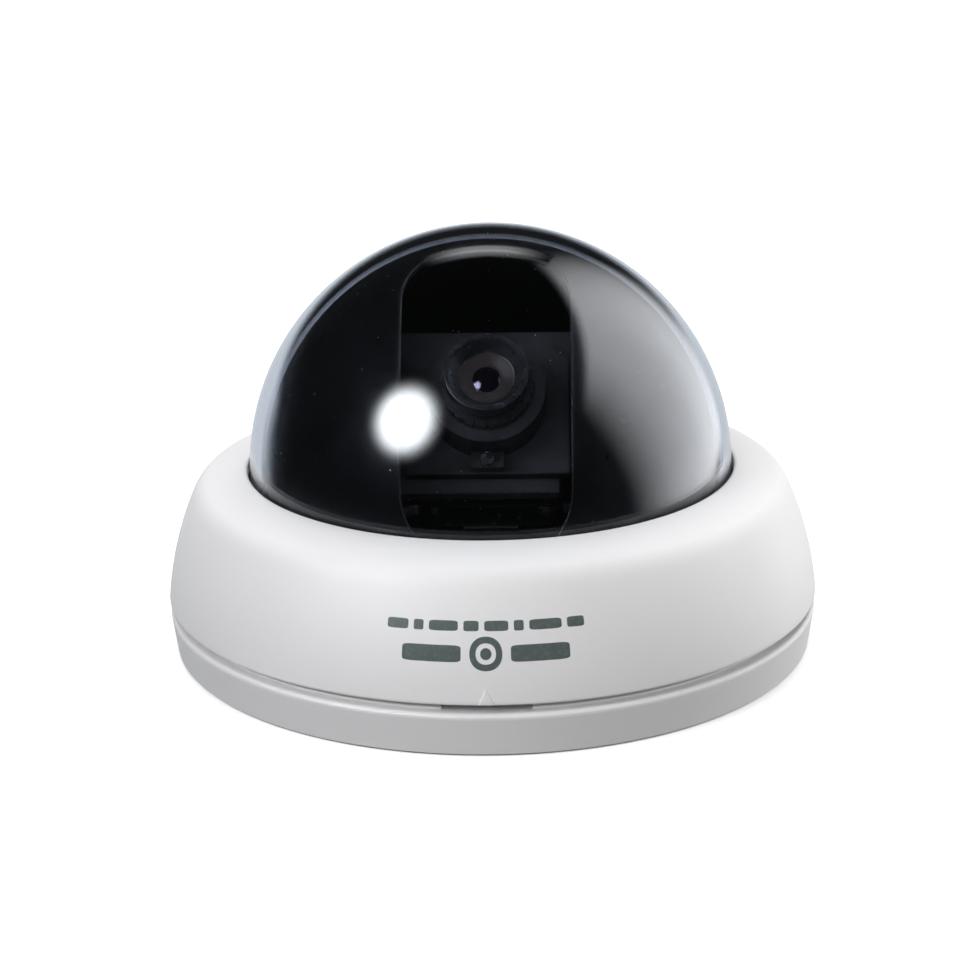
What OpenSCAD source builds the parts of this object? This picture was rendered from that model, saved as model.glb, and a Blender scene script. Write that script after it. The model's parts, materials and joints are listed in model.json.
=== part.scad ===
// Indoor dome camera: a round base, a lift-off cover with a clear dome, and a three-axis
// camera module behind a black inner liner. Millimetres. +Z points away from the mounting
// face, the front faces -Y, and the origin is the centre of the mounting face.

/* [Dome and cover] */
// Outer radius of the clear dome
dome_r = 43.7; // [38:0.1:54]
// Wall thickness of the clear dome
dome_wall = 2; // [1.5:0.1:2.5]
// Radial distance from the dome to the cover's widest edge
cover_margin = 15.55; // [15:0.05:20]
// Height of the cover's opening lip above the mounting face
lip_z = 32.9; // [28:0.1:42]
// Wall thickness of the cover
cover_wall = 2.2; // [1.8:0.1:2.6]
// Outward bulge of the cover's side wall
side_bulge = 0.98; // [0.3:0.01:2]
// Number of screws that hold the dome
dome_screw_count = 4; // [3:1:8]

/* [Base] */
// Height of the base's outer rim
rim_h = 7.8; // [7.5:0.1:10]
// Thickness of the base's floor
floor_t = 2.4; // [2:0.1:3.5]
// Gap between the rim and the cover's lower edge
shadow_gap = 1.6; // [0.8:0.1:2.5]
// Radius of the central cable hole
cable_hole_r = 9; // [6:0.1:12]
// Radius of the two mounting holes
mount_hole_r = 2.25; // [1.6:0.05:3]
// Width of the release window at the front
window_w = 15; // [8:0.5:20]
// Distance from the liner to a mounting hole, for a screwdriver
driver_gap = 6.2; // [5:0.1:7]

/* [Camera module] */
// Elevation of the lens axis at rest
rest_tilt = 42; // [10:1:80]
// Height of the tilt axis above the dome's centre
tilt_rise = 1.9; // [0:0.1:4]
// Radius of the lens barrel's thread
lens_r = 6; // [5:0.1:7]
// Width of the square circuit boards
board_w = 26; // [22:0.5:31]
// Radius of the tilt pivots
pivot_r = 2.5; // [1.5:0.1:3.5]
// Width of the liner's view slot
slot_w = 28.2; // [20:0.5:34]
// Thickness of the liner
liner_wall = 1; // [0.8:0.1:1.5]

/* [Hidden] */
$fn = 96;
e = 0.01;

// Fits
run_gap = 0.05;      // radial clearance of a pivot
journal_gap = 0.1;   // radial clearance of the pan journal
face_gap = 0.3;      // between faces that turn past each other
seat_gap = 0.1;      // between the cover's ledge and the upstand
slide_gap = 0.25;    // between the cover's skirt and the upstand
screw_gap = 0.1;     // radial clearance of a screw shank

// Small screws: shank radius, head radius and head height
small_shank = 0.8;
small_head = 1.15;
small_head_h = 1;
case_shank = 1;
case_head = 1.9;
case_head_h = 1.2;

// Cover and dome
cover_r = dome_r + cover_margin;
skirt_z = rim_h + shadow_gap;
dome_z = lip_z - 0.8;
dome_in_r = dome_r - dome_wall;
hole_r = dome_r + 0.4;
lip_round = 0.6;
flange_t = 1.6;
flange_top = lip_z - 2;
flange_low = flange_top - flange_t;
flange_r = dome_r + 2.9;
shoulder = [dome_r + 9.5, lip_z - 2.5];
retainer_t = 1.8;
retainer_r = dome_r + 7.3;
dome_boss_r = 2.4;
dome_screw_at = flange_r + face_gap + dome_boss_r + 0.1;
ledge_t = 1.5;

// Base
rim_r = cover_r - 0.05;
upstand_h = skirt_z + 3;
upstand_r = cover_r - 2.25;
upstand_wall = 1.6;
upstand_in_r = upstand_r - upstand_wall;
pad_h = 1.6;
pad_z = floor_t + pad_h;
key_w = 5;
key_depth = 0.8;
key_angles = [90, 210, 330];

// Liner and pan parts
liner_r = dome_in_r - 0.9;
liner_in_r = liner_r - liner_wall;
turntable_r = liner_r - 2.8;
turntable_t = 1.8;
turntable_hole_r = 14;
foot_t = 1.6;
journal_r = turntable_r - 5.1;
journal_wall = 1.9;
track_wall = 2.6;
track_r = journal_r + journal_gap + track_wall;
track_in_r = journal_r - 7.4;
track_screw_at = journal_r - 4.4;
track_top = pad_z + 4.5;
turntable_z = track_top + seat_gap;
turntable_top = turntable_z + turntable_t;
post_r = 2.2;
post_at = turntable_r - 4.4;
post_top = turntable_top + 4.6;
clip_hook = turntable_top + face_gap;
clip_t = 1.2;
clip_w = 8;
clip_in_r = turntable_r + 0.4;
clip_wall = 2.6;
clip_foot = 5;
slot_low = 11.4;
slot_high = 65.2;
mount_at = liner_r + driver_gap;

// Lens axis: distances are measured from the tilt axis, outwards along the lens axis
tilt_z = dome_z + tilt_rise;
lens_front = liner_in_r - 6.8;
hood_h = 3.8;
hood_l = lens_front - hood_h;
focus_t = 1.8;
focus_l = hood_l - 0.5 - focus_t;
collar_front = focus_l - face_gap;
collar_h = 6.6;
plate_front = collar_front - collar_h;
plate_t = 2.2;
plate_back = plate_front - plate_t;
cradle_t = 2.5;
cradle_front = plate_back - face_gap;
cradle_back = cradle_front - cradle_t;
spigot_back = cradle_back - face_gap;
frame_t = 1.5;
frame_back = spigot_back - frame_t;
board_t = 1.2;
post_l = 6.6;
sensor_l = frame_back - post_l;
spacer_l = 7.4;
dsp_l = sensor_l - board_t - spacer_l;
dsp_back = dsp_l - board_t;
stack_screw_l = 14;

// Across the lens axis
board_r = board_w * 0.65;
board_hole_at = board_w * 0.396;
collar_r = lens_r + 4;
holder_r = lens_r + 3;
spigot_r = holder_r + 2.5;
plate_w = 28;
plate_h = 26;
plate_chamfer = 4.5;
lug_w = 5.6;
lug_t = 2;
lug_screw_at = collar_r + 0.15 + small_head;
lug_reach = lug_screw_at + 1.4;
frame_r = max(15, spigot_r + 2);
cradle_in = board_r + face_gap;
cradle_wall = 2;
cradle_out = cradle_in + cradle_wall;
cradle_h = 31;
arm_in = cradle_out + 0.8;
arm_t = 2.4;
arm_out = arm_in + arm_t;
arm_end_r = pivot_r + 3.5;
knob_r = 5.5;
knob_h = 3.2;
foot_l = 8;
foot_w = 20;

// Power board at the front of the base
power_z = floor_t + 4.4;
power_t = 1.6;
power_top = power_z + power_t;
power_r = upstand_in_r - 1.2;
power_w = 52;
power_back = liner_r + 0.3;
power_mid = (power_back + power_r) / 2;
power_screw_x = 22;

// Points of an arc from a to b that bulges to the right of the way from a to b
function bow(a, b, bulge, steps) =
  let (d = b - a, side = [d[1], -d[0]] / norm(d))
  [for (i = [0:steps]) let (t = i / steps) a + d * t + side * bulge * 4 * t * (1 - t)];

// Points of a smooth bend from a to b that is pulled towards the corner c
function bend(a, c, b, steps) =
  [for (i = [0:steps]) let (t = i / steps) a * (1 - t) * (1 - t) + c * 2 * t * (1 - t) + b * t * t];

module around(angles, distance) {
  for (angle = angles) rotate([0, 0, angle]) translate([distance, 0, 0]) children();
}

module ring(outer, inner, height) {
  difference() {
    cylinder(r = outer, h = height);
    translate([0, 0, -1]) cylinder(r = inner, h = height + 2);
  }
}

// Screw with its head above z = 0, its shank below and a cross recess
module screw(shank, head, head_h, length) {
  difference() {
    union() {
      cylinder(r = head, h = head_h);
      translate([0, 0, -length]) cylinder(r = shank, h = length + e);
    }
    for (turn = [0, 90]) rotate([0, 0, turn])
      translate([-head * 0.6, -head * 0.13, head_h * 0.5]) cube([head * 1.2, head * 0.26, head_h]);
  }
}

// Frame of the lens axis: local Z is the lens axis, local Y is the image's up direction
module lens_frame() {
  translate([0, 0, tilt_z]) rotate([90 - rest_tilt, 0, 0]) children();
}

module board_corners() {
  for (x = [-1, 1], y = [-1, 1]) translate([x * board_hole_at, y * board_hole_at, 0]) children();
}

module board_outline() {
  intersection() {
    square(board_w, center = true);
    circle(r = board_r);
  }
}

// ---------------------------------------------------------------- base

// Floor, tapered rim with a rounded top edge, and the recessed upstand inside it
module base_section() {
  edge = 1;
  polygon(concat(
    [[0, 0], [rim_r - 1.4, 0], [rim_r - 1, 0.4]],
    bend([rim_r - 0.1, rim_h - edge], [rim_r, rim_h], [rim_r - edge, rim_h], 4),
    [[upstand_r, rim_h], [upstand_r, upstand_h], [upstand_in_r, upstand_h],
     [upstand_in_r, floor_t], [0, floor_t]]));
}

module base_posts() {
  translate([0, 0, floor_t - e]) {
    ring(track_r + 0.9, track_in_r, pad_h + e);
    cylinder(r = cable_hole_r + 2.5, h = pad_h + e);
    around(key_angles, clip_in_r)
      translate([0, -clip_w / 2, 0]) cube([clip_wall + clip_foot, clip_w, pad_h + e]);
    for (side = [-1, 1]) translate([side * power_screw_x, -power_mid + 2, 0])
      cylinder(r = 2.6, h = power_z - floor_t + e);
  }
}

module base_case() {
  blind = 1.2;
  color("whitesmoke") difference() {
    union() {
      rotate_extrude() base_section();
      base_posts();
    }
    translate([0, 0, -1]) cylinder(r = cable_hole_r, h = pad_z + 2);
    around([0, 180], mount_at) translate([0, 0, -1]) cylinder(r = mount_hole_r, h = floor_t + 2);
    around([for (i = [0:2]) 30 + 120 * i], track_screw_at)
      translate([0, 0, blind]) cylinder(r = case_shank + screw_gap, h = pad_z);
    around(key_angles, clip_in_r + clip_wall + clip_foot / 2)
      translate([0, 0, blind]) cylinder(r = case_shank + screw_gap, h = pad_z);
    for (side = [-1, 1]) translate([side * power_screw_x, -power_mid + 2, blind])
      cylinder(r = case_shank + screw_gap, h = power_z);
    // release window at the front
    translate([-window_w / 2, -rim_r, rim_h]) cube([window_w, 8, upstand_h]);
    // guide slots for the cover's keys, open at the top
    around(key_angles, upstand_r - key_depth - 0.3)
      translate([0, -key_w / 2 - 0.25, skirt_z - 0.2]) cube([3, key_w + 0.5, upstand_h]);
  }
}

module power_board() {
  color("peru") translate([0, 0, power_z]) linear_extrude(power_t) difference() {
    intersection() {
      circle(r = power_r);
      translate([-power_w / 2, -power_r]) square([power_w, power_r - power_back]);
    }
    for (side = [-1, 1]) translate([side * power_screw_x, -power_mid + 2])
      circle(r = case_shank + screw_gap);
  }
}

module power_board_screws() {
  color("silver") for (side = [-1, 1]) translate([side * power_screw_x, -power_mid + 2, power_top])
    screw(case_shank, case_head, case_head_h, power_t + 3);
}

terminal_w = 11;
terminal_d = 7;
terminal_h = 8;
terminal_x = -12;
terminal_pitch = 5;

module terminal_block() {
  color("seagreen") translate([terminal_x, -power_mid, power_top]) difference() {
    translate([-terminal_w / 2, -terminal_d / 2, 0]) cube([terminal_w, terminal_d, terminal_h]);
    for (side = [-1, 1]) translate([side * terminal_pitch / 2, 0, 0]) {
      translate([0, 0, terminal_h - 2]) cylinder(r = 1.6, h = 3);
      translate([0, -terminal_d, 2.6]) rotate([-90, 0, 0]) cylinder(r = 1.3, h = terminal_d);
    }
  }
}

module terminal_screws() {
  color("gainsboro") for (side = [-1, 1])
    translate([terminal_x + side * terminal_pitch / 2, -power_mid, power_top + terminal_h - 2])
      difference() {
        cylinder(r = 1.5, h = 1.4);
        translate([-1, -0.2, 0.8]) cube([2, 0.4, 1]);
      }
}

module service_jack() {
  jack_x = 12;
  jack_h = 9;
  color("goldenrod") translate([jack_x, -power_mid, power_top]) difference() {
    union() {
      translate([-4, -3.5, 0]) cube([8, 7, 3]);
      cylinder(r = 3.2, h = jack_h);
    }
    translate([0, 0, 2]) cylinder(r = 1.7, h = jack_h);
  }
}

module filter_capacitor() {
  color("midnightblue") translate([1.5, -power_mid, power_top]) {
    rotate_extrude() polygon([[0, 0], [2.9, 0], [2.9, 1.2], [2.6, 1.5], [2.9, 1.8], [2.9, 8.6],
      [2.5, 9], [0, 9]]);
  }
}

// ---------------------------------------------------------------- pan

module pan_track() {
  color("dimgray") translate([0, 0, pad_z]) difference() {
    rotate_extrude() polygon([[track_in_r, 0], [track_r, 0], [track_r, track_top - pad_z],
      [journal_r + journal_gap, track_top - pad_z], [journal_r + journal_gap, foot_t - 1],
      [journal_r - 1.4, foot_t - 1], [journal_r - 1.4, foot_t], [track_in_r, foot_t]]);
    around([for (i = [0:2]) 30 + 120 * i], track_screw_at)
      translate([0, 0, -1]) cylinder(r = case_shank + screw_gap, h = 4);
  }
}

module pan_track_screws() {
  color("silver") around([for (i = [0:2]) 30 + 120 * i], track_screw_at)
    translate([0, 0, pad_z + foot_t]) screw(case_shank, case_head, case_head_h, foot_t + 2.4);
}

// Hooks on the base that hold the turntable down by its edge
module pan_clips() {
  color("dimgray") around(key_angles, 0) difference() {
    translate([0, clip_w / 2, 0]) rotate([90, 0, 0]) linear_extrude(clip_w) polygon([
      [clip_in_r, pad_z], [clip_in_r + clip_wall + clip_foot, pad_z],
      [clip_in_r + clip_wall + clip_foot, pad_z + foot_t], [clip_in_r + clip_wall, pad_z + foot_t],
      [clip_in_r + clip_wall, clip_hook + clip_t], [turntable_r - 1.8, clip_hook + clip_t],
      [turntable_r - 1.8, clip_hook], [clip_in_r, clip_hook]]);
    translate([clip_in_r + clip_wall + clip_foot / 2, 0, 0])
      cylinder(r = case_shank + screw_gap, h = pad_z + 4);
  }
}

module pan_clip_screws() {
  color("silver") around(key_angles, clip_in_r + clip_wall + clip_foot / 2)
    translate([0, 0, pad_z + foot_t]) screw(case_shank, case_head, case_head_h, foot_t + 2.4);
}

module yoke_screw_places() {
  for (x = [-1, 1], y = [-1, 1])
    translate([x * (arm_out + foot_l / 2 - 0.6), y * foot_w * 0.3, 0]) children();
}

module turntable() {
  color("dimgray") difference() {
    union() {
      translate([0, 0, turntable_z]) ring(turntable_r, turntable_hole_r, turntable_t);
      translate([0, 0, pad_z + foot_t + 0.3])
        ring(journal_r, journal_r - journal_wall, turntable_z - pad_z - foot_t);
      around(key_angles, post_at) translate([0, 0, turntable_top - e])
        cylinder(r = post_r, h = post_top - turntable_top + e);
    }
    around(key_angles, post_at) translate([0, 0, turntable_top])
      cylinder(r = case_shank + screw_gap, h = post_top);
    yoke_screw_places() translate([0, 0, turntable_z - 1])
      cylinder(r = case_shank + screw_gap, h = turntable_t + 2);
  }
}

// Upright arm on the +X side, with a round end about the tilt axis and a screwed foot
module yoke_arm() {
  color("dimgray") difference() {
    union() {
      translate([arm_in, 0, 0]) rotate([90, 0, 90]) linear_extrude(arm_t) union() {
        translate([0, tilt_z]) circle(r = arm_end_r);
        polygon([[-foot_w / 2, turntable_top], [foot_w / 2, turntable_top],
          [arm_end_r, tilt_z], [-arm_end_r, tilt_z]]);
      }
      translate([arm_in, -foot_w / 2, turntable_top]) cube([arm_t + foot_l, foot_w, 1.8]);
    }
    translate([arm_in - 1, 0, tilt_z]) rotate([0, 90, 0])
      cylinder(r = pivot_r + run_gap, h = arm_t + 2);
    yoke_screw_places() cylinder(r = case_shank + screw_gap, h = turntable_top + 3);
  }
}

module yoke_right() {
  yoke_arm();
}

module yoke_left() {
  mirror([1, 0, 0]) yoke_arm();
}

module yoke_screws() {
  color("silver") yoke_screw_places() translate([0, 0, turntable_top + 1.8])
    screw(case_shank, case_head, case_head_h, 1.8 + turntable_t);
}

// View slot: a wedge of the slot's width about the dome's centre, with a round end at each limit.
// The ends are a hair wider than the band, so that their walls cross it cleanly.
module slot_cutter() {
  reach = liner_r + 3;
  depth = liner_in_r * 0.7;
  end_r = slot_w / 2 + 0.03;
  translate([0, 0, dome_z]) {
    rotate([0, 90, 0]) linear_extrude(slot_w, center = true) polygon([[0, 0],
      2 * reach * [-sin(slot_low), -cos(slot_low)], 2 * reach * [-sin(slot_high), -cos(slot_high)]]);
    for (end = [slot_low, slot_high]) rotate([90 - end, 0, 0]) translate([0, 0, depth])
      cylinder(r = end_r, h = reach - depth);
  }
}

module inner_liner() {
  flange_in = post_at - 2.8;
  color([0.06, 0.06, 0.07]) difference() {
    rotate_extrude() union() {
      difference() {
        translate([0, dome_z]) circle(r = liner_r);
        translate([0, dome_z]) circle(r = liner_in_r);
        translate([-liner_r * 2, -liner_r * 2]) square([liner_r * 2, liner_r * 5]);
        translate([-e, dome_z - liner_r * 2]) square([liner_r * 2, liner_r * 2]);
      }
      translate([liner_in_r, post_top]) square([liner_wall, dome_z - post_top]);
      translate([flange_in, post_top]) square([liner_r - flange_in, 1.2]);
    }
    slot_cutter();
    around(key_angles, post_at) cylinder(r = case_shank + screw_gap, h = dome_z);
  }
}

module liner_screws() {
  color("silver") around(key_angles, post_at) translate([0, 0, post_top + 1.2])
    screw(case_shank, case_head, case_head_h, 4.5);
}

// ---------------------------------------------------------------- tilt

module tilt_cradle() {
  side_h = 2 * (pivot_r + 4.5);
  side_back = pivot_r + 4.5;
  color("dimgray") lens_frame() difference() {
    union() {
      translate([-cradle_out, -cradle_h / 2, cradle_back]) cube([2 * cradle_out, cradle_h, cradle_t]);
      for (side = [-1, 1]) {
        translate([side * (cradle_in + cradle_wall / 2), 0, (cradle_front - side_back) / 2])
          cube([cradle_wall, side_h, cradle_front + side_back], center = true);
        translate([side * (cradle_out + 0.3), 0, 0]) rotate([0, 90, 0])
          cylinder(r = pivot_r + 2, h = 0.6 + e, center = true);
      }
    }
    translate([0, 0, cradle_back - 1]) cylinder(r = spigot_r + run_gap, h = cradle_t + 2);
    rotate([0, 90, 0]) cylinder(r = pivot_r + run_gap, h = 4 * cradle_out, center = true);
    // cable notch at the lower right corner
    translate([cradle_out - 7, -cradle_h / 2 - 1, cradle_back - 1]) cube([8, 7, cradle_t + 2]);
  }
}

module tilt_knob() {
  grips = 16;
  color([0.1, 0.1, 0.1]) translate([0, 0, tilt_z]) rotate([0, 90, 0]) union() {
    translate([0, 0, cradle_in]) cylinder(r = pivot_r, h = arm_out + face_gap - cradle_in + e);
    translate([0, 0, arm_out + face_gap]) difference() {
      cylinder(r = knob_r, h = knob_h);
      around([for (i = [1:grips]) i * 360 / grips], knob_r + 0.2)
        translate([0, 0, -1]) cylinder(r = 0.6, h = knob_h + 2);
      translate([-knob_r * 0.7, -0.5, knob_h - 1]) cube([knob_r * 1.4, 1, 2]);
    }
  }
}

module tilt_knob_right() {
  tilt_knob();
}

module tilt_knob_left() {
  mirror([1, 0, 0]) tilt_knob();
}

// ---------------------------------------------------------------- roll

module plate_outline() {
  w = plate_w / 2;
  h = plate_h / 2;
  c = plate_chamfer;
  polygon([[-w, -h], [w, -h], [w, h - c], [w - c, h], [c - w, h], [-w, h - c]]);
}

frame_screw_angles = [for (i = [0:2]) 90 + 120 * i];
frame_screw_at = (holder_r + spigot_r) / 2 + 0.05;

module module_plate() {
  color([0.12, 0.12, 0.12]) lens_frame() difference() {
    union() {
      translate([0, 0, plate_back]) linear_extrude(plate_t) plate_outline();
      translate([0, 0, spigot_back]) cylinder(r = spigot_r, h = plate_back - spigot_back + e);
    }
    translate([0, 0, spigot_back - 1]) cylinder(r = holder_r + screw_gap, h = 10);
    around([90, 270], lug_screw_at) translate([0, 0, plate_back + 0.4])
      cylinder(r = small_shank + screw_gap, h = plate_t);
    around(frame_screw_angles, frame_screw_at) translate([0, 0, spigot_back - 1])
      cylinder(r = small_shank + 0.05, h = 3.2);
  }
}

// Ring behind the cradle that keeps the spigot in, with four posts for the boards
module module_frame() {
  color([0.15, 0.15, 0.15]) lens_frame() difference() {
    union() {
      translate([0, 0, frame_back]) cylinder(r = frame_r, h = frame_t);
      translate([0, 0, sensor_l]) board_corners() cylinder(r = 2, h = post_l + 0.5);
    }
    translate([0, 0, frame_back - 1]) cylinder(r = holder_r + screw_gap, h = frame_t + 2);
    translate([0, 0, sensor_l - 1]) board_corners()
      cylinder(r = case_shank + screw_gap, h = post_l);
    around(frame_screw_angles, frame_screw_at) translate([0, 0, frame_back - 1])
      cylinder(r = small_shank + 0.05, h = frame_t + 2);
  }
}

module frame_screws() {
  color("silver") lens_frame() around(frame_screw_angles, frame_screw_at)
    translate([0, 0, frame_back]) mirror([0, 0, 1])
      screw(small_shank, small_head, small_head_h, frame_t + 1.8);
}

module lens_holder() {
  cavity_r = lens_r + 1.2;
  cavity_h = 5;
  color([0.09, 0.09, 0.1]) lens_frame() difference() {
    union() {
      translate([0, 0, sensor_l]) cylinder(r = holder_r, h = plate_front - sensor_l + e);
      translate([0, 0, plate_front]) cylinder(r = collar_r, h = collar_h);
      translate([-lug_w / 2, -lug_reach, plate_front]) cube([lug_w, 2 * lug_reach, lug_t]);
    }
    translate([0, 0, sensor_l - 1]) cylinder(r = lens_r + run_gap, h = 60);
    translate([0, 0, sensor_l - 1]) cylinder(r = cavity_r, h = cavity_h + 1);
    around([90, 270], lug_screw_at) translate([0, 0, plate_front - 1])
      cylinder(r = small_shank + screw_gap, h = 4);
  }
}

module holder_screws() {
  color("silver") lens_frame() around([90, 270], lug_screw_at)
    translate([0, 0, plate_front + lug_t])
      screw(small_shank, small_head, small_head_h, lug_t + 1.5);
}

module circuit_board(front) {
  lens_frame() translate([0, 0, front - board_t]) difference() {
    linear_extrude(board_t) board_outline();
    board_corners() translate([0, 0, -1]) cylinder(r = case_shank + screw_gap, h = 4);
  }
}

module sensor_board() {
  color("darkgreen") circuit_board(sensor_l);
}

module signal_board() {
  color("darkgreen") circuit_board(dsp_l);
}

module image_sensor() {
  package = 8.8;
  color([0.2, 0.2, 0.24]) lens_frame() translate([0, 0, sensor_l]) difference() {
    translate([-package / 2, -package / 2, 0]) cube([package, package, 1.6]);
    translate([-3, -2.4, 1.3]) cube([6, 4.8, 1]);
  }
}

module signal_chip() {
  chip = 9;
  color([0.08, 0.08, 0.08]) lens_frame() translate([-chip / 2, -chip / 2 + 2, dsp_back - 1.3])
    cube([chip, chip, 1.3]);
}

module board_connector() {
  color("ivory") lens_frame() translate([-5, -board_w / 2 + 1, dsp_back - 3.6]) difference() {
    cube([10, 4, 3.6]);
    translate([0.8, 0.8, -1]) cube([8.4, 2.4, 3.6]);
  }
}

module board_spacers() {
  color("goldenrod") lens_frame() translate([0, 0, dsp_l]) board_corners()
    ring(1.8, case_shank + screw_gap, spacer_l);
}

module board_screws() {
  color("silver") lens_frame() translate([0, 0, dsp_back]) board_corners() mirror([0, 0, 1])
    screw(case_shank, 1.8, 1.2, stack_screw_l);
}

// ---------------------------------------------------------------- lens

module focus_ring() {
  grips = 24;
  color([0.2, 0.2, 0.2]) lens_frame() translate([0, 0, focus_l]) difference() {
    ring(lens_r + 2, lens_r + run_gap, focus_t);
    around([for (i = [1:grips]) i * 360 / grips], lens_r + 2.15)
      translate([0, 0, -1]) cylinder(r = 0.4, h = focus_t + 2);
  }
}

barrel_bore = lens_r - 1.4;
barrel_back = sensor_l + 5.9;
glass_r = 2.4;

module lens_barrel() {
  color([0.1, 0.1, 0.1]) lens_frame() translate([0, 0, barrel_back])
    ring(lens_r, barrel_bore, hood_l - barrel_back);
}

// Front ring of the lens: conical outside, with a recessed cone inside
module lens_hood() {
  rim = lens_r + 1.2;
  color([0.13, 0.13, 0.13]) lens_frame() translate([0, 0, hood_l]) rotate_extrude() polygon([
    [barrel_bore, 0], [lens_r + 0.5, 0], [rim - 0.1, 1.4], [rim, 1.7], [rim, hood_h - 0.2],
    [rim - 0.2, hood_h], [rim - 0.9, hood_h], [barrel_bore + 0.2, 1.6], [barrel_bore, 1.6]]);
}

module lens_bezel() {
  color([0.25, 0.17, 0.15]) lens_frame() translate([0, 0, hood_l]) rotate_extrude() polygon([
    [glass_r, 0], [barrel_bore, 0], [barrel_bore, 1.5], [glass_r + 0.5, 0.8], [glass_r, 0.8]]);
}

module front_glass() {
  ball = 4.6;
  color([0.2, 0.15, 0.3, 0.6]) lens_frame() translate([0, 0, hood_l]) intersection() {
    translate([0, 0, -1]) cylinder(r = glass_r, h = 5);
    translate([0, 0, 1.5 - ball]) sphere(r = ball);
    translate([-5, -5, -0.6]) cube([10, 10, 5]);
  }
}

module rear_glass() {
  color([0.6, 0.7, 0.8, 0.6]) lens_frame() translate([0, 0, barrel_back + 0.6])
    cylinder(r = barrel_bore, h = 2);
}

// ---------------------------------------------------------------- cover

cover_edge = [cover_r, skirt_z + 0.4];
cover_lip = [hole_r + lip_round, lip_z];

// Outer outline from the lower edge, up the bowed side, over the soft shoulder to the lip
function cover_outer() =
  let (side = bow(cover_edge, shoulder, side_bulge, 8), top = bow(shoulder, cover_lip, 0.35, 5))
  concat([[cover_r - 0.4, skirt_z]], [for (i = [0:7]) side[i]], bend(side[7], shoulder, top[1], 4),
    [for (i = [2:4]) top[i]], bend(cover_lip, [hole_r, lip_z], [hole_r, lip_z - lip_round], 4));

// Inner outline from the dome's seat down to the ledge and the skirt
function cover_inner() =
  let (top = [shoulder[0] - cover_wall + 0.2, flange_low - 0.1],
       low = [cover_r - 0.65 - cover_wall, upstand_h + seat_gap + ledge_t])
  concat([[hole_r, flange_top], [flange_r + 1, flange_top]], bow(top, low, -side_bulge * 0.55, 6),
    [[upstand_in_r + 0.2, low[1] - 0.4], [upstand_in_r + 0.2, upstand_h + seat_gap],
     [upstand_r + slide_gap, upstand_h + seat_gap], [upstand_r + slide_gap, skirt_z]]);

dome_screw_angles = [for (i = [1:dome_screw_count]) (i - 0.5) * 360 / dome_screw_count];

module cover() {
  arrow_w = 2.6;
  arrow_h = 2.9;
  color("whitesmoke") difference() {
    union() {
      rotate_extrude() polygon(concat(cover_outer(), cover_inner()));
      around(dome_screw_angles, dome_screw_at) translate([0, 0, flange_low])
        cylinder(r = dome_boss_r, h = 1.2);
      // keys that drop into the base's guide slots
      around(key_angles, upstand_r - key_depth) translate([0, -key_w / 2, skirt_z + 0.5])
        cube([key_depth + 1, key_w, upstand_h + seat_gap - skirt_z]);
      // raised arrow over the release window
      translate([0, -cover_r + 1.5, skirt_z + 0.2]) rotate([90, 0, 0]) linear_extrude(1.55)
        polygon([[-arrow_w / 2, 0], [arrow_w / 2, 0], [0, arrow_h]]);
    }
    around(dome_screw_angles, dome_screw_at) translate([0, 0, flange_low - 1])
      cylinder(r = case_shank, h = 2.4);
  }
}

module dome() {
  color([0.8, 0.85, 0.9, 0.35]) rotate_extrude() union() {
    difference() {
      translate([0, dome_z]) circle(r = dome_r);
      translate([0, dome_z]) circle(r = dome_in_r);
      translate([-dome_r * 2, -dome_r * 2]) square([dome_r * 2, dome_r * 5]);
      translate([-e, dome_z - dome_r * 2]) square([dome_r * 2, dome_r * 2]);
    }
    translate([dome_in_r, flange_low]) square([dome_wall, dome_z - flange_low]);
    translate([dome_in_r, flange_low]) square([flange_r - dome_in_r, flange_t]);
  }
}

module dome_retainer() {
  color([0.2, 0.2, 0.2]) translate([0, 0, flange_low - retainer_t]) difference() {
    ring(retainer_r, dome_r + 0.3, retainer_t);
    around(dome_screw_angles, dome_screw_at) translate([0, 0, -1])
      cylinder(r = case_shank + screw_gap, h = retainer_t + 2);
  }
}

module dome_screws() {
  color("silver") around(dome_screw_angles, dome_screw_at)
    translate([0, 0, flange_low - retainer_t]) mirror([0, 0, 1])
      screw(case_shank - 0.05, case_head, case_head_h, retainer_t + 1.3);
}

base_case();
power_board();
power_board_screws();
terminal_block();
terminal_screws();
service_jack();
filter_capacitor();
pan_track();
pan_track_screws();
pan_clips();
pan_clip_screws();
turntable();
yoke_left();
yoke_right();
yoke_screws();
inner_liner();
liner_screws();
tilt_cradle();
tilt_knob_left();
tilt_knob_right();
module_plate();
module_frame();
frame_screws();
lens_holder();
holder_screws();
sensor_board();
image_sensor();
signal_board();
signal_chip();
board_spacers();
board_screws();
board_connector();
focus_ring();
lens_barrel();
lens_hood();
lens_bezel();
front_glass();
rear_glass();
cover();
dome();
dome_retainer();
dome_screws();
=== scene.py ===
"""Indoor dome camera: white base and lift-off cover, clear dome, black liner, tilting lens module.

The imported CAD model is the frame. Its nodes keep their place and get moulded, turned and
printed finishes; the shells that show their curve are made again as smooth surfaces.
Metres throughout, +Z away from the mounting face, front towards -Y.
"""
import json
import math
import bmesh
import bpy
import numpy as np
from mathutils import Matrix, Vector


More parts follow.
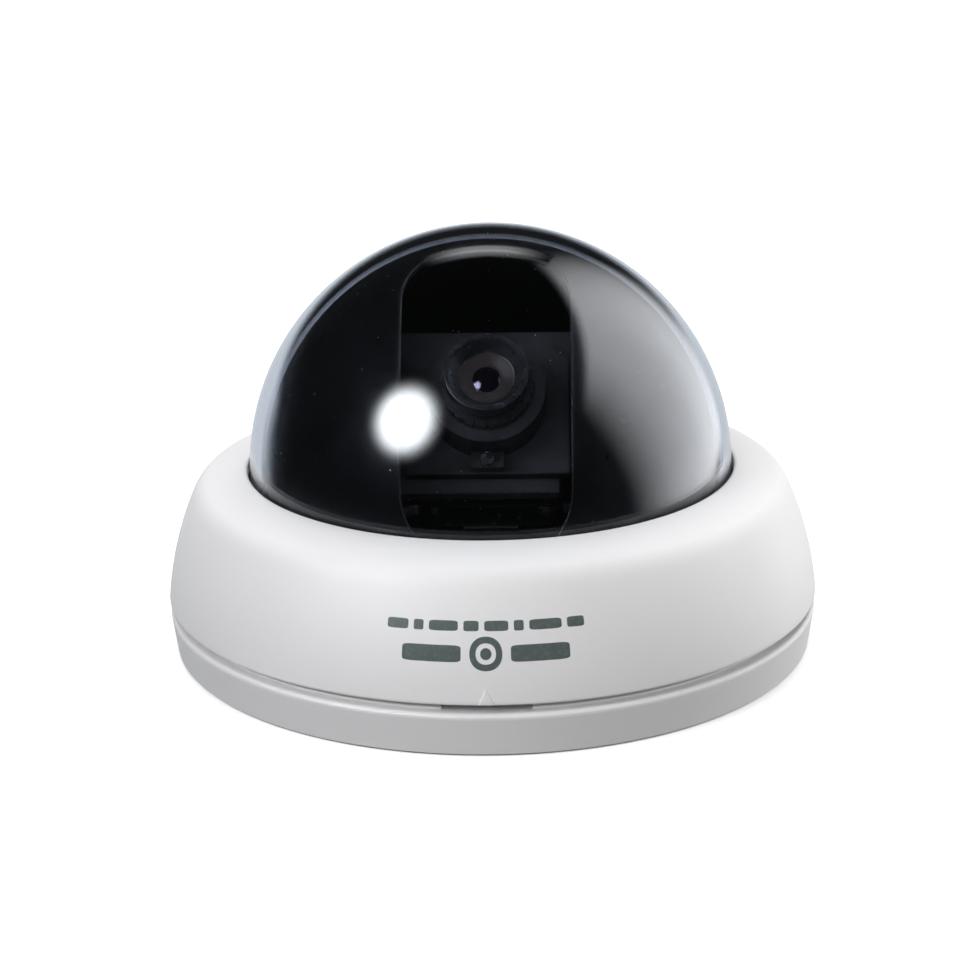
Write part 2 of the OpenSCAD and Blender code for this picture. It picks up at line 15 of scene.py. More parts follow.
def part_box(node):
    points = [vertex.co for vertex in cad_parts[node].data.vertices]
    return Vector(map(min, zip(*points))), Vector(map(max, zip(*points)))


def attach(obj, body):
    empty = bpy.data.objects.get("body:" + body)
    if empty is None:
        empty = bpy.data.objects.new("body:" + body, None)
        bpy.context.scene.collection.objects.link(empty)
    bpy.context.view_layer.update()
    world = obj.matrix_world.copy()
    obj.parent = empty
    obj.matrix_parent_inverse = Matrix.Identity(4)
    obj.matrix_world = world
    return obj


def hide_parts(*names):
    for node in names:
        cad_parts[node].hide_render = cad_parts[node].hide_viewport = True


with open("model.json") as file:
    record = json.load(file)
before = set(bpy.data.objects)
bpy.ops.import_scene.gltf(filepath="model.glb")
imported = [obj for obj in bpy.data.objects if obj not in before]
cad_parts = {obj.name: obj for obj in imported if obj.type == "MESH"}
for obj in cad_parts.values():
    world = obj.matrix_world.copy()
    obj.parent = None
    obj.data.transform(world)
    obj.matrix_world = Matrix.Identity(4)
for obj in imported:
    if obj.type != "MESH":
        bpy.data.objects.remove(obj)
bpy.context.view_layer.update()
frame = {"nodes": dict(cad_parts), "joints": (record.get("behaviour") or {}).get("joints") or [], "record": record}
nodes = frame["nodes"]
MM = 0.001
TURN = 2 * math.pi


def size_of(node):
    """Lowest corner, highest corner and size of a CAD node, as arrays."""
    low, high = (np.array(corner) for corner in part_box(node))
    return low, high, high - low


# ---------------------------------------------------------------- sizes, read from the frame

_, base_high, _ = size_of("base_case")
cover_low, cover_high, cover_size = size_of("cover")
dome_low, dome_high, _ = size_of("dome")
liner_low, _, liner_size = size_of("inner_liner")
hood_size = size_of("lens_hood")[2]
glass_size = size_of("front_glass")[2]

COVER_R = cover_size[0] / 2
SKIRT_Z = cover_low[2]
LIP_Z = cover_high[2]
DOME_Z = LIP_Z - 0.8 * MM
DOME_R = dome_high[2] - DOME_Z
DOME_WALL = 2.0 * MM
FLANGE_R = DOME_R + 2.9 * MM
FLANGE_TOP = LIP_Z - 2.0 * MM
FLANGE_LOW = dome_low[2]
LINER_R = liner_size[0] / 2
LINER_WALL = 1.0 * MM
LINER_FOOT = liner_low[2]
LINER_FLANGE_IN = LINER_R - 10.0 * MM
LINER_FLANGE_T = 1.2 * MM
SLOT_HALF = 14.1 * MM
SLOT_LOW = math.radians(11.4)
SLOT_HIGH = math.radians(65.2)
UPSTAND_R = COVER_R - 2.25 * MM
UPSTAND_Z = base_high[2]
RIM_Z = SKIRT_Z - 1.6 * MM
SHOULDER = np.array([DOME_R + 9.5 * MM, LIP_Z - 2.5 * MM])
HOLE_R = DOME_R + 0.4 * MM

GLASS_R = glass_size[0] / 2
HOOD_R = hood_size[0] / 2
lens_joint = next(j for j in frame["joints"] if j["name"] == "roll_turn")
TILT_AXIS_AT = Vector(lens_joint["pos_m"])
LENS_AXIS = Vector(lens_joint["axis"]).normalized()
IMAGE_UP = Vector((1, 0, 0)).cross(LENS_AXIS) * -1
LENS_FRAME = Matrix.Translation(TILT_AXIS_AT) @ Matrix(
    ((1, 0, 0), tuple(IMAGE_UP), tuple(LENS_AXIS))).transposed().to_4x4()


def along_lens(node):
    """Range that a CAD node takes along the lens axis, measured from the tilt axis."""
    co = np.array([v.co for v in nodes[node].data.vertices])
    reach = (co - np.array(TILT_AXIS_AT)) @ np.array(LENS_AXIS)
    return reach.min(), reach.max()


# ---------------------------------------------------------------- mesh helpers

def make_object(name, points, faces, body, material, sharp=35.0):
    """A mesh object from points and faces, welded, with outward normals, riding on a body."""
    mesh = bpy.data.meshes.new(name)
    mesh.from_pydata(np.asarray(points).tolist(), [], faces)
    work = bmesh.new()
    work.from_mesh(mesh)
    bmesh.ops.remove_doubles(work, verts=work.verts, dist=1e-7)
    bmesh.ops.recalc_face_normals(work, faces=work.faces)
    work.to_mesh(mesh)
    work.free()
    mesh.shade_smooth()
    mesh.set_sharp_from_angle(angle=math.radians(sharp))
    mesh.materials.append(material)
    piece = bpy.data.objects.new(name, mesh)
    bpy.context.scene.collection.objects.link(piece)
    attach(piece, body)
    return piece


def grid_faces(rows, columns, wrap_rows=False, wrap_columns=True, first=0):
    """Quads of a grid of rows x columns points; either direction may close on itself."""
    r = np.arange(rows if wrap_rows else rows - 1)
    c = np.arange(columns if wrap_columns else columns - 1)
    r, c = np.meshgrid(r, c, indexing="ij")
    up, over = (r + 1) % rows, (c + 1) % columns
    quads = np.stack([r * columns + c, r * columns + over, up * columns + over, up * columns + c], -1)
    return (quads.reshape(-1, 4) + first).tolist()


def turned(profile, steps=192, place=None):
    """Points and faces of a profile of (radius, height) turned about Z; it may end on the axis."""
    profile = np.asarray(profile, float)
    angle = np.arange(steps) * TURN / steps
    radius, height = profile[:, 0][:, None], profile[:, 1][:, None]
    points = np.stack([radius * np.cos(angle), radius * np.sin(angle),
                       height + 0 * angle], -1).reshape(-1, 3)
    if place is not None:
        turn = np.array(place)
        points = points @ turn[:3, :3].T + turn[:3, 3]
    return points, grid_faces(len(profile), steps)


def bow(a, b, bulge, steps):
    """Points of a shallow arc from a to b that bulges to the right by the given height."""
    a, b = np.asarray(a, float), np.asarray(b, float)
    d = b - a
    side = np.array([d[1], -d[0]]) / np.hypot(*d)
    t = np.linspace(0, 1, steps + 1)[:, None]
    return a + d * t + side * bulge * 4 * t * (1 - t)


def bend(a, corner, b, steps):
    """Points of a smooth bend from a to b, pulled towards the corner."""
    a, corner, b = (np.asarray(p, float) for p in (a, corner, b))
    t = np.linspace(0, 1, steps + 1)[:, None]
    return a * (1 - t) ** 2 + corner * 2 * t * (1 - t) + b * t ** 2


def arc(centre_z, radius, start, end, steps):
    """Points (radius, height) of an arc about the Z axis, by elevation angle in radians."""
    angle = np.linspace(start, end, steps + 1)
    return np.stack([radius * np.cos(angle), centre_z + radius * np.sin(angle)], -1)


# ---------------------------------------------------------------- materials

class Finish:
    """A Principled material that is built up node by node, all on Object coordinates."""

    def __init__(self, name, colour, roughness, metallic=0.0, specular=0.5, ior=1.5):
        self.material = bpy.data.materials.new(name)
        self.material.use_nodes = True
        self.tree = self.material.node_tree
        self.shader = self.tree.nodes["Principled BSDF"]
        self.out = self.tree.nodes["Material Output"]
        self.coords = self.tree.nodes.new("ShaderNodeTexCoord")
        self.shader.inputs["Base Color"].default_value = (*colour, 1)
        self.shader.inputs["Roughness"].default_value = roughness
        self.shader.inputs["Metallic"].default_value = metallic
        self.shader.inputs["Specular IOR Level"].default_value = specular
        self.shader.inputs["IOR"].default_value = ior
        self.height = None

    def node(self, kind, **values):
        """A new node; each value goes to the input of that name, or else to the setting."""
        made = self.tree.nodes.new(kind)
        for key, value in values.items():
            if key in made.inputs:
                made.inputs[key].default_value = value
            else:
                setattr(made, key, value)
        return made

    def link(self, start, end):
        """Joins an output to an input."""
        self.tree.links.new(start, end)

    def noise(self, scale, detail=3.0, rough=0.55):
        """Fractal noise, scale in cells per metre."""
        made = self.node("ShaderNodeTexNoise", Scale=scale, Detail=detail, Roughness=rough)
        self.link(self.coords.outputs["Object"], made.inputs["Vector"])
        return made.outputs["Fac"]

    def ranged(self, value, low, high, to_low, to_high):
        """Maps low to high onto to_low to to_high, held at the ends."""
        made = self.node("ShaderNodeMapRange")
        for socket, number in zip(("From Min", "From Max", "To Min", "To Max"),
                                  (low, high, to_low, to_high)):
            made.inputs[socket].default_value = number
        self.link(value, made.inputs["Value"])
        return made.outputs["Result"]

    def mix(self, factor, first, second):
        """Colour mix; first and second are colours or sockets."""
        made = self.tree.nodes.new("ShaderNodeMix")
        made.data_type = "RGBA"
        self.link(factor, made.inputs["Factor"])
        for socket, value in ((made.inputs[6], first), (made.inputs[7], second)):
            if isinstance(value, tuple):
                socket.default_value = (*value, 1)
            else:
                self.link(value, socket)
        return made.outputs[2]

    def tint(self, factor, other):
        """Blends the colour towards another one where factor is high."""
        base = self.shader.inputs["Base Color"]
        now = base.links[0].from_socket if base.is_linked else tuple(base.default_value[:3])
        self.link(self.mix(factor, now, other), base)
        return self

    def vary(self, scale, low, high, detail=3.0):
        """Roughness that drifts between low and high."""
        self.link(self.ranged(self.noise(scale, detail), 0.3, 0.7, low, high),
                  self.shader.inputs["Roughness"])
        return self

    def bump(self, value, distance, strength=1.0):
        """Adds a fine relief of the given depth in metres."""
        made = self.node("ShaderNodeBump", Strength=strength, Distance=distance)
        self.link(value, made.inputs["Height"])
        if self.height is not None:
            self.link(self.height, made.inputs["Normal"])
        self.height = made.outputs["Normal"]
        self.link(self.height, self.shader.inputs["Normal"])
        return self

    def edge_wear_and_highlight(self, colour, amount=0.5):
        """Lighter colour along convex edges: wear, and where it is strong a painted highlight."""
        shape = self.tree.nodes.new("ShaderNodeNewGeometry")
        edge = self.ranged(shape.outputs["Pointiness"], 0.52, 0.6, 0.0, amount)
        return self.tint(edge, colour)


def white_abs(name, painted_shade_above=None):
    """Glossy white ABS: faint cloudiness, a very fine orange peel and a few dusty specks.

    Above the given height it turns olive grey: painted shade for the dark gap in a recess.
    """
    f = Finish(name, (0.80, 0.795, 0.80), 0.2, ior=1.53)
    f.tint(f.ranged(f.noise(22, 2), 0.35, 0.7, 0.0, 0.5), (0.78, 0.78, 0.785))
    if painted_shade_above is not None:
        # Painted shade: olive grey above the given height, darkening the recessed upstand in the gap under the
        # cover.
        split = f.node("ShaderNodeSeparateXYZ")
        f.link(f.coords.outputs["Object"], split.inputs["Vector"])
        painted_shade = f.ranged(split.outputs["Z"], painted_shade_above, painted_shade_above + 0.3 * MM, 0.0, 0.85)
        f.tint(painted_shade, (0.27, 0.262, 0.225))
    f.tint(f.ranged(f.noise(2600, 2), 0.73, 0.78, 0.0, 0.35), (0.55, 0.54, 0.5))
    f.vary(60, 0.46, 0.54)
    f.bump(f.noise(900, 2), 0.00001)
    f.bump(f.noise(90, 2), 0.00003)
    f.shader.inputs["Subsurface Weight"].default_value = 0.06
    f.shader.inputs["Subsurface Radius"].default_value = (0.002, 0.0018, 0.0016)
    return f.material


def clear_dome():
    """Clear polycarbonate with hair-fine wipe marks; light from lamps passes straight through."""
    f = Finish("clear_polycarbonate", (0.6, 0.63, 0.69), 0.012, ior=1.57)
    f.shader.inputs["Transmission Weight"].default_value = 1.0
    specks = f.node("ShaderNodeTexVoronoi", Scale=330)
    f.link(f.coords.outputs["Object"], specks.inputs["Vector"])
    f.link(f.ranged(specks.outputs["Distance"], 0.02, 0.05, 0.5, 0.012), f.shader.inputs["Roughness"])
    f.bump(f.noise(30, 1), 0.000008)
    rays = f.tree.nodes.new("ShaderNodeLightPath")
    through = f.tree.nodes.new("ShaderNodeBsdfTransparent")
    through.inputs["Color"].default_value = (0.74, 0.76, 0.8, 1)
    both = f.tree.nodes.new("ShaderNodeMixShader")
    f.link(rays.outputs["Is Shadow Ray"], both.inputs["Fac"])
    f.link(f.shader.outputs["BSDF"], both.inputs[1])
    f.link(through.outputs["BSDF"], both.inputs[2])
    f.link(both.outputs["Shader"], f.out.inputs["Surface"])
    return f.material


def satin_black(name, colour, roughness, grain=1800, depth=0.00002, edge=(0.12, 0.12, 0.125)):
    """Moulded black plastic with a fine spark-eroded grain and lighter convex edges: rubbed wear, and a painted
    highlight where the edge colour is light.
    """
    f = Finish(name, colour, roughness)
    f.vary(240, roughness - 0.07, roughness + 0.09)
    f.tint(f.ranged(f.noise(120, 4), 0.4, 0.75, 0.0, 0.6), tuple(c * 1.8 for c in colour))
    f.bump(f.noise(grain, 3), depth)
    f.edge_wear_and_highlight(edge, 0.35)
    return f.material


def turned_metal(name, colour, roughness, metallic=1.0):
    """Turned or plated metal: fine streaks, cloudy plating and brighter edges."""
    f = Finish(name, colour, roughness, metallic=metallic)
    f.vary(900, roughness - 0.08, roughness + 0.12)
    f.tint(f.ranged(f.noise(1500, 3), 0.45, 0.75, 0.0, 0.3), tuple(c * 0.75 for c in colour))
    f.bump(f.noise(5000, 2), 0.000004)
    f.edge_wear_and_highlight(tuple(min(1.0, c * 1.5 + 0.03) for c in colour), 0.4)
    return f.material


def circuit_board(name, mask, track, pad):
    """Solder mask over raised tracks, with tinned pads between them."""
    f = Finish(name, mask, 0.35)
    lines = f.node("ShaderNodeTexBrick", Scale=330)
    lines.offset = 0.37
    lines.inputs["Mortar Size"].default_value = 0.06
    lines.inputs["Color1"].default_value = (0, 0, 0, 1)
    lines.inputs["Color2"].default_value = (0.1, 0.1, 0.1, 1)
    lines.inputs["Mortar"].default_value = (1, 1, 1, 1)
    bent = f.node("ShaderNodeTexVoronoi", Scale=420)
    f.link(f.coords.outputs["Object"], lines.inputs["Vector"])
    f.link(f.coords.outputs["Object"], bent.inputs["Vector"])
    f.tint(lines.outputs["Color"], track)
    spot = f.ranged(bent.outputs["Distance"], 0.16, 0.2, 1.0, 0.0)
    f.tint(spot, pad)
    f.bump(lines.outputs["Color"], 0.00003)
    f.vary(300, 0.28, 0.42)
    return f.material


def plain_plastic(name, colour, roughness, grain=1400):
    """Moulded plastic with slight flow marks and a fine grain."""
    f = Finish(name, colour, roughness)
    f.vary(260, roughness - 0.06, roughness + 0.08)
    f.tint(f.ranged(f.noise(90, 3), 0.4, 0.7, 0.0, 0.5), tuple(c * 0.82 for c in colour))
    f.bump(f.noise(grain, 3), 0.000015)
    return f.material


def coated_glass():
    """Dark lens glass with a purple anti-reflection coating: purple-tinted reflections, and a painted sheen where
    the base colour turns purple towards the edge.
    """
    f = Finish("coated_lens_glass", (0.004, 0.003, 0.006), 0.03, ior=1.7)
    facing = f.tree.nodes.new("ShaderNodeLayerWeight")
    facing.inputs["Blend"].default_value = 0.35
    # Painted sheen: the base colour turns purple where the glass is seen edge-on.
    f.tint(f.ranged(facing.outputs["Facing"], 0.2, 0.9, 0.0, 0.6), (0.03, 0.012, 0.05))
    f.vary(700, 0.02, 0.05)
    f.shader.inputs["Specular Tint"].default_value = (0.78, 0.6, 1.0, 1)
    f.shader.inputs["Coat Weight"].default_value = 1.0
    f.shader.inputs["Coat Roughness"].default_value = 0.02
    return f.material


def print_ink():
    """Pad-printed ink, dark grey-green, slightly thin in places."""
    f = Finish("pad_print_ink", (0.085, 0.11, 0.105), 0.35)
    f.tint(f.ranged(f.noise(1600, 3), 0.5, 0.75, 0.0, 0.35), (0.2, 0.23, 0.22))
    f.vary(500, 0.3, 0.45)
    return f.material


WHITE = white_abs("glossy_white_abs")
# The base's white carries painted shade: olive grey on the upstand above the rim, in the gap under the cover.
WHITE_BASE = white_abs("white_abs_painted_shade", RIM_Z + 0.2 * MM)
CLEAR = clear_dome()
# The liner's light edge colour is a painted highlight: a fine light line along the rounded edge of the view slot.
LINER = satin_black("liner_black", (0.0022, 0.0022, 0.0025), 0.34, grain=1500, depth=0.000004,
                    edge=(0.16, 0.16, 0.165))
BRACKET = satin_black("bracket_black", (0.007, 0.007, 0.0075), 0.42)
KNOB = satin_black("knob_black", (0.008, 0.008, 0.008), 0.5)
LENS_METAL = turned_metal("black_anodised", (0.13, 0.13, 0.137), 0.32, 0.9)
BEZEL = plain_plastic("bezel_brown", (0.055, 0.042, 0.04), 0.4)
STEEL = turned_metal("zinc_plated_steel", (0.55, 0.55, 0.56), 0.3)
BRASS = turned_metal("turned_brass", (0.6, 0.42, 0.17), 0.28)
GLASS = coated_glass()
INK = print_ink()
SLOT_MATERIALS = {
    "case_white": WHITE, "dome_clear": CLEAR, "liner_black": LINER, "bracket_black": BRACKET,
    "knob_black": KNOB, "lens_metal": LENS_METAL, "bezel_brown": BEZEL, "coated_glass": GLASS,
    "screw_steel": STEEL, "terminal_plate": turned_metal("nickel_plate", (0.62, 0.6, 0.56), 0.25),
    "jack_metal": BRASS, "spacer_brass": BRASS,
    "board_green": circuit_board("green_board", mask=(0.002, 0.01, 0.005),
                                 track=(0.003, 0.016, 0.008), pad=(0.05, 0.048, 0.04)),
    "board_brown": circuit_board("brown_board", mask=(0.4, 0.2, 0.085),
                                 track=(0.5, 0.28, 0.13), pad=(0.62, 0.6, 0.55)),
    "chip_black": plain_plastic("chip_epoxy", (0.02, 0.02, 0.022), 0.5, 2600),
    "sensor_ceramic": plain_plastic("sensor_package", (0.07, 0.07, 0.09), 0.25, 2600),
    "connector_ivory": plain_plastic("connector_nylon", (0.66, 0.6, 0.45), 0.4),
    "terminal_green": plain_plastic("terminal_green", (0.02, 0.2, 0.07), 0.38),
    "capacitor_sleeve": plain_plastic("capacitor_sleeve", (0.012, 0.02, 0.09), 0.2),
}


def dress_cad_nodes():
    """Gives every CAD node the finish of its slot."""
    for part in frame["record"]["subparts"]:
        for place in nodes[part["node"]].material_slots:
            place.material = SLOT_MATERIALS[part["material_slot"]]
    # The base case takes the white with painted shade on its upstand.
    for place in nodes["base_case"].material_slots:
        place.material = WHITE_BASE


# ---------------------------------------------------------------- cover

EDGE_STEPS = 5
SIDE_STEPS = 48
SIDE_KEPT = 42
TOP_STEPS = 30
TOP_FROM = 6
SIDE_BULGE = 0.98 * MM
TOP_BULGE = 0.35 * MM
INNER_BULGE = 0.54 * MM
PRINT_PROUD = 0.02 * MM


def cover_outline():
    """Outer line of the cover (radius, height): edge, bowed side, soft shoulder, bevel, lip."""
    edge = (COVER_R, SKIRT_Z + 0.4 * MM)
    lip = (HOLE_R + 0.6 * MM, LIP_Z)
    side = bow(edge, SHOULDER, SIDE_BULGE, SIDE_STEPS)
    top = bow(SHOULDER, lip, TOP_BULGE, TOP_STEPS)
    foot = bend((COVER_R - 0.4 * MM, SKIRT_Z), (COVER_R, SKIRT_Z), edge, EDGE_STEPS)
    shoulder = bend(side[SIDE_KEPT], SHOULDER, top[TOP_FROM], 14)
    return np.concatenate([
        foot[:-1], side[:SIDE_KEPT], shoulder[1:-1], top[TOP_FROM:-1],
        bend(lip, (HOLE_R, LIP_Z), (HOLE_R, LIP_Z - 0.6 * MM), 6)])


def cover_inner_line():
    """Inner line of the cover, from the dome's seat to the ledge and down the skirt."""
    ledge_z = UPSTAND_Z + 0.1 * MM
    top = (SHOULDER[0] - 2.0 * MM, FLANGE_LOW - 0.1 * MM)
    low = (COVER_R - 2.85 * MM, ledge_z + 1.5 * MM)
    ledge_r = UPSTAND_R - 1.4 * MM
    skirt_r = UPSTAND_R + 0.25 * MM
    return np.concatenate([
        [(HOLE_R, FLANGE_TOP), (FLANGE_R + 1.0 * MM, FLANGE_TOP)], bow(top, low, -INNER_BULGE, 24),
        [(ledge_r, low[1] - 0.4 * MM), (ledge_r, ledge_z), (skirt_r, ledge_z), (skirt_r, SKIRT_Z)]])


def cover_shell():
    """Cover: its closed outline turned about Z, plain all round."""
    outline = np.concatenate([cover_outline(), cover_inner_line()])
    points, _ = turned(outline, 384)
    shell = make_object("cover_shell", points, grid_faces(len(outline), 384, wrap_rows=True),
                        "cover", WHITE, 30)
    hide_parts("cover")


def cover_bosses():
    """Four screw bosses: small tubes under the cover's top, one per dome screw."""
    centre_r = FLANGE_R + 0.3 * MM + 2.4 * MM + 0.1 * MM
    profile = np.array([(1.0, 0), (2.2, 0), (2.4, 0.2), (2.4, 1.4), (1.0, 1.4)]) * MM
    all_points, all_faces = [], []
    for i in range(4):
        angle = (i + 0.5) * TURN / 4
        place = Matrix.Translation((centre_r * math.cos(angle), centre_r * math.sin(angle), FLANGE_LOW))
        points, _ = turned(profile, 32, place)
        faces = grid_faces(len(profile), 32, wrap_rows=True, first=sum(map(len, all_points)))
        all_points.append(points)
        all_faces += faces
    make_object("cover_bosses", np.concatenate(all_points), all_faces, "cover", WHITE)


def wall_radius(height):
    """Radius of the cover's outer side at a height."""
    line = cover_outline()[:EDGE_STEPS + SIDE_KEPT - 1]
    return np.interp(height, line[:, 1], line[:, 0])


def on_wall(across, height, proud):
    """Points on the cover's front wall: across is the arc length from the centre line."""
    radius = wall_radius(height) + proud
    angle = across / COVER_R
    return np.stack([radius * np.sin(angle), -radius * np.cos(angle), height + 0 * angle], -1)


def wall_slab(name, across, height, proud, sink, material, sharp=35.0):
    """A closed patch on the cover's wall from two grids of arc length and height.

    The top stands proud of the wall and the bottom is sunk in it; a rim joins the two.
    """
    rows, columns = across.shape
    top = on_wall(across, height, proud).reshape(-1, 3)
    under = on_wall(across, height, -sink).reshape(-1, 3)
    faces = grid_faces(rows, columns)
    count = rows * columns
    faces += [[a + count, d + count, c + count, b + count] for a, b, c, d in faces]
    here = np.arange(columns)
    after = (here + 1) % columns
    last = (rows - 1) * columns
    rim = [last + here, last + after, last + count + after, last + count + here]
    faces += np.stack(rim, -1).tolist()
    if not np.allclose(top[0], top[columns // 2]):
        faces += np.stack([after, here, count + here, count + after], -1).tolist()
    return make_object(name, np.concatenate([top, under]), faces, "cover", material, sharp)


def cover_arrow():
    """Raised arrow over the release window: a triangle that rises to a soft ridge."""
    share = np.array([0.0, 0.55, 0.9, 1.0])[:, None]
    corners = np.array([(-1.3, 0.2), (1.3, 0.2), (0, 3.1)]) * MM
    edge = np.concatenate([np.linspace(corners[i], corners[(i + 1) % 3], 9)[:-1] for i in range(3)])
    centre = corners.mean(0)
    across = centre[0] + (edge[:, 0] - centre[0]) * share
    height = SKIRT_Z + centre[1] + (edge[:, 1] - centre[1]) * share
    raised = np.array([0.3, 0.3, 0.26, 0.1])[:, None] * MM + 0 * across
    wall_slab("cover_arrow", across, height, raised, 0.3 * MM, WHITE, 25)


def oval(centre_x, centre_z, half_w, half_h, power, inner=0.0, rows=4, columns=64):
    """Grids of a rounded bar or ring: rings of a superellipse from inner share to full size."""
    angle = np.arange(columns) * TURN / columns
    x = np.sign(np.cos(angle)) * np.abs(np.cos(angle)) ** (2 / power)
    z = np.sign(np.sin(angle)) * np.abs(np.sin(angle)) ** (2 / power)
    share = np.linspace(inner, 1, rows)[:, None]
    return centre_x + half_w * x * share, centre_z + half_h * z * share


def cover_print():
    """Plain pad print: a row of short bars above an eye-like symbol between two bars."""
    row_z, mark_z = 22.4 * MM, 18.0 * MM
    widths = np.array([3.7, 1.7, 5.0, 2.6, 4.1, 1.7, 5.6, 3.0]) * MM
    gap = 0.95 * MM
    at = -(widths.sum() + gap * (len(widths) - 1)) / 2
    for i, width in enumerate(widths):
        across, height = oval(at + width / 2, row_z, width / 2, 0.8 * MM, 6.0)
        wall_slab(f"print_bar_{i + 1}", across, height, PRINT_PROUD, PRINT_PROUD, INK)
        at += width + gap
    shapes = {"print_ring": (0, 2.75, 2.75, 2.2, 0.62), "print_pupil": (0, 0.95, 0.95, 2.0, 0.0)}
    for side in (-1, 1):
        name = "left" if side < 0 else "right"
        shapes[f"print_wide_{name}"] = (side * 9.2, 5.0, 1.35, 8.0, 0.0)
    for name, (x, half_w, half_h, power, inner) in shapes.items():
        across, height = oval(x * MM, mark_z, half_w * MM, half_h * MM, power, inner)
        wall_slab(name, across, height, PRINT_PROUD, PRINT_PROUD, INK)


# ---------------------------------------------------------------- dome and liner

def dome_shell():
    """Clear dome: outer and inner half spheres, a short skirt and a flange, one closed wall."""
    inner = DOME_R - DOME_WALL
    outline = np.concatenate([
        arc(DOME_Z, DOME_R, math.pi / 2, 0, 96), [(DOME_R, FLANGE_TOP), (FLANGE_R, FLANGE_TOP),
        (FLANGE_R, FLANGE_LOW), (inner, FLANGE_LOW)], arc(DOME_Z, inner, 0, math.pi / 2, 96)])
    points, faces = turned(outline, 256)
    shell = make_object("dome_shell", points, faces, "cover", CLEAR, 40)
    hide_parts("dome")


def slot_edge(radius, grow, count):
    """Edge of the view slot on a sphere, from the bottom tip round the right side and back.

    The slot is a band of constant width along the front meridian with a round cap at each end.
    grow widens it. Points are relative to the dome's centre.
    """
    half = SLOT_HALF + grow
    cap = math.asin(half / radius)
    straight = (SLOT_HIGH - SLOT_LOW) * radius
    quarter = half * math.pi / 2
    whole = 2 * straight + 4 * quarter
    way = np.arange(count) / count * whole
    mirrored = way > whole / 2
    way = np.where(mirrored, whole - way, way)
    in_low, in_high = way < quarter, way > quarter + straight
    rise = np.clip((way - quarter) / straight, 0, 1) * (SLOT_HIGH - SLOT_LOW) + SLOT_LOW
    round_high = np.where(in_high, (way - quarter - straight) / quarter, 0)
    round_by = np.where(in_low, way / quarter - 1, round_high) * math.pi / 2
    along = np.stack([0 * rise, -np.cos(rise), np.sin(rise)], -1)
    upward = np.stack([0 * rise, np.sin(rise), np.cos(rise)], -1)
    aside = np.array([1.0, 0, 0])
    edge = (along * math.cos(cap) + (aside * np.cos(round_by)[:, None]
                                     + upward * np.sin(round_by)[:, None]) * math.sin(cap))
    edge[:, 0] *= np.where(mirrored, -1, 1)
    return edge * radius


def liner_rows(radius, foot, grow, rows, count):
    """Rows of points on the liner from the slot's edge to the foot circle.

    Each row lies between the two, drawn out to the sphere, or to the upright wall below its centre.
    """
    edge = slot_edge(radius, grow, count)
    turn = np.arange(count) / count * TURN
    rim = np.stack([radius * np.sin(turn), -radius * np.cos(turn), foot + 0 * turn], -1)
    share = np.linspace(0, 1, rows)[:, None, None]
    points = edge * (1 - share) + rim * share
    ball = points / np.linalg.norm(points, axis=-1, keepdims=True) * radius
    wall = points.copy()
    wall[..., :2] *= (radius / np.linalg.norm(points[..., :2], axis=-1, keepdims=True))
    depth = ball[..., 2:]
    return np.where(depth >= 0, ball, np.where(wall[..., 2:] < 0, wall, ball))


def liner_shell():
    """Black liner: outer skin, rounded slot edge, inner skin and the screw flange, all closed."""
    count, rows, soft = 288, 64, 0.18 * MM
    foot = LINER_FOOT - DOME_Z
    inner_r = LINER_R - LINER_WALL
    outer = liner_rows(LINER_R, foot, soft, rows, count)
    inner = liner_rows(inner_r, foot + LINER_FLANGE_T, soft, rows, count)[::-1]
    rims = [slot_edge(inner_r + soft, 0, count)[None], slot_edge(LINER_R - soft, 0, count)[None]]
    turn = np.arange(count) / count * TURN
    flange = [np.stack([LINER_FLANGE_IN * np.sin(turn), -LINER_FLANGE_IN * np.cos(turn),
                        z + 0 * turn], -1)[None] for z in (foot, foot + LINER_FLANGE_T)]
    grid = np.concatenate([outer, *flange, inner, *rims])
    grid[..., 2] += DOME_Z
    shell = make_object("liner_shell", grid.reshape(-1, 3),
                        grid_faces(len(grid), count, wrap_rows=True), "pan", LINER, 32)
    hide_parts("inner_liner")


# ---------------------------------------------------------------- lens

def lens_front_parts():
    """Front glass as a shallow dome, and the hood as a turned ring with fine ribs in its cone."""
    hood_back, hood_front = along_lens("lens_hood")
    glass_back = along_lens("front_glass")[0]
    glass_r = GLASS_R - 0.02 * MM
    share = np.linspace(0, 1, 20)
    crown = np.stack([glass_r * share, glass_back + 2.0 * MM - 0.62 * MM * share ** 2], -1)
    glass = np.concatenate([crown, [(glass_r, glass_back + 0.02 * MM), (0, glass_back + 0.02 * MM)]])
    points, faces = turned(glass, 96, LENS_FRAME)
    element = make_object("front_element", points, faces, "focus", GLASS, 40)
    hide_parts("front_glass")

    rim_r = HOOD_R
    bore_r = rim_r - 2.6 * MM
    floor_at = hood_back + 1.6 * MM
    outside = np.array([(bore_r, hood_back), (rim_r - 0.7 * MM, hood_back),
                        (rim_r - 0.1 * MM, hood_back + 1.4 * MM), (rim_r, hood_back + 1.7 * MM)])
    lip = bend((rim_r, hood_front - 0.3 * MM), (rim_r, hood_front), (rim_r - 0.3 * MM, hood_front), 6)
    cone_top = np.array([rim_r - 0.9 * MM, hood_front])
    cone_foot = np.array([bore_r + 0.2 * MM, floor_at])
    down = np.linspace(0, 1, 81)[:, None]
    cone = cone_top + (cone_foot - cone_top) * down
    cone[:, 0] += 0.045 * MM * (1 - np.cos(down[:, 0] * 8 * TURN)) / 2
    outline = np.concatenate([outside, lip, cone, [(bore_r, floor_at)]])
    points, _ = turned(outline, 160, LENS_FRAME)
    ring = make_object("hood_ring", points, grid_faces(len(outline), 160, wrap_rows=True), "focus",
                       LENS_METAL, 60)
    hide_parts("lens_hood")


# ---------------------------------------------------------------- stage

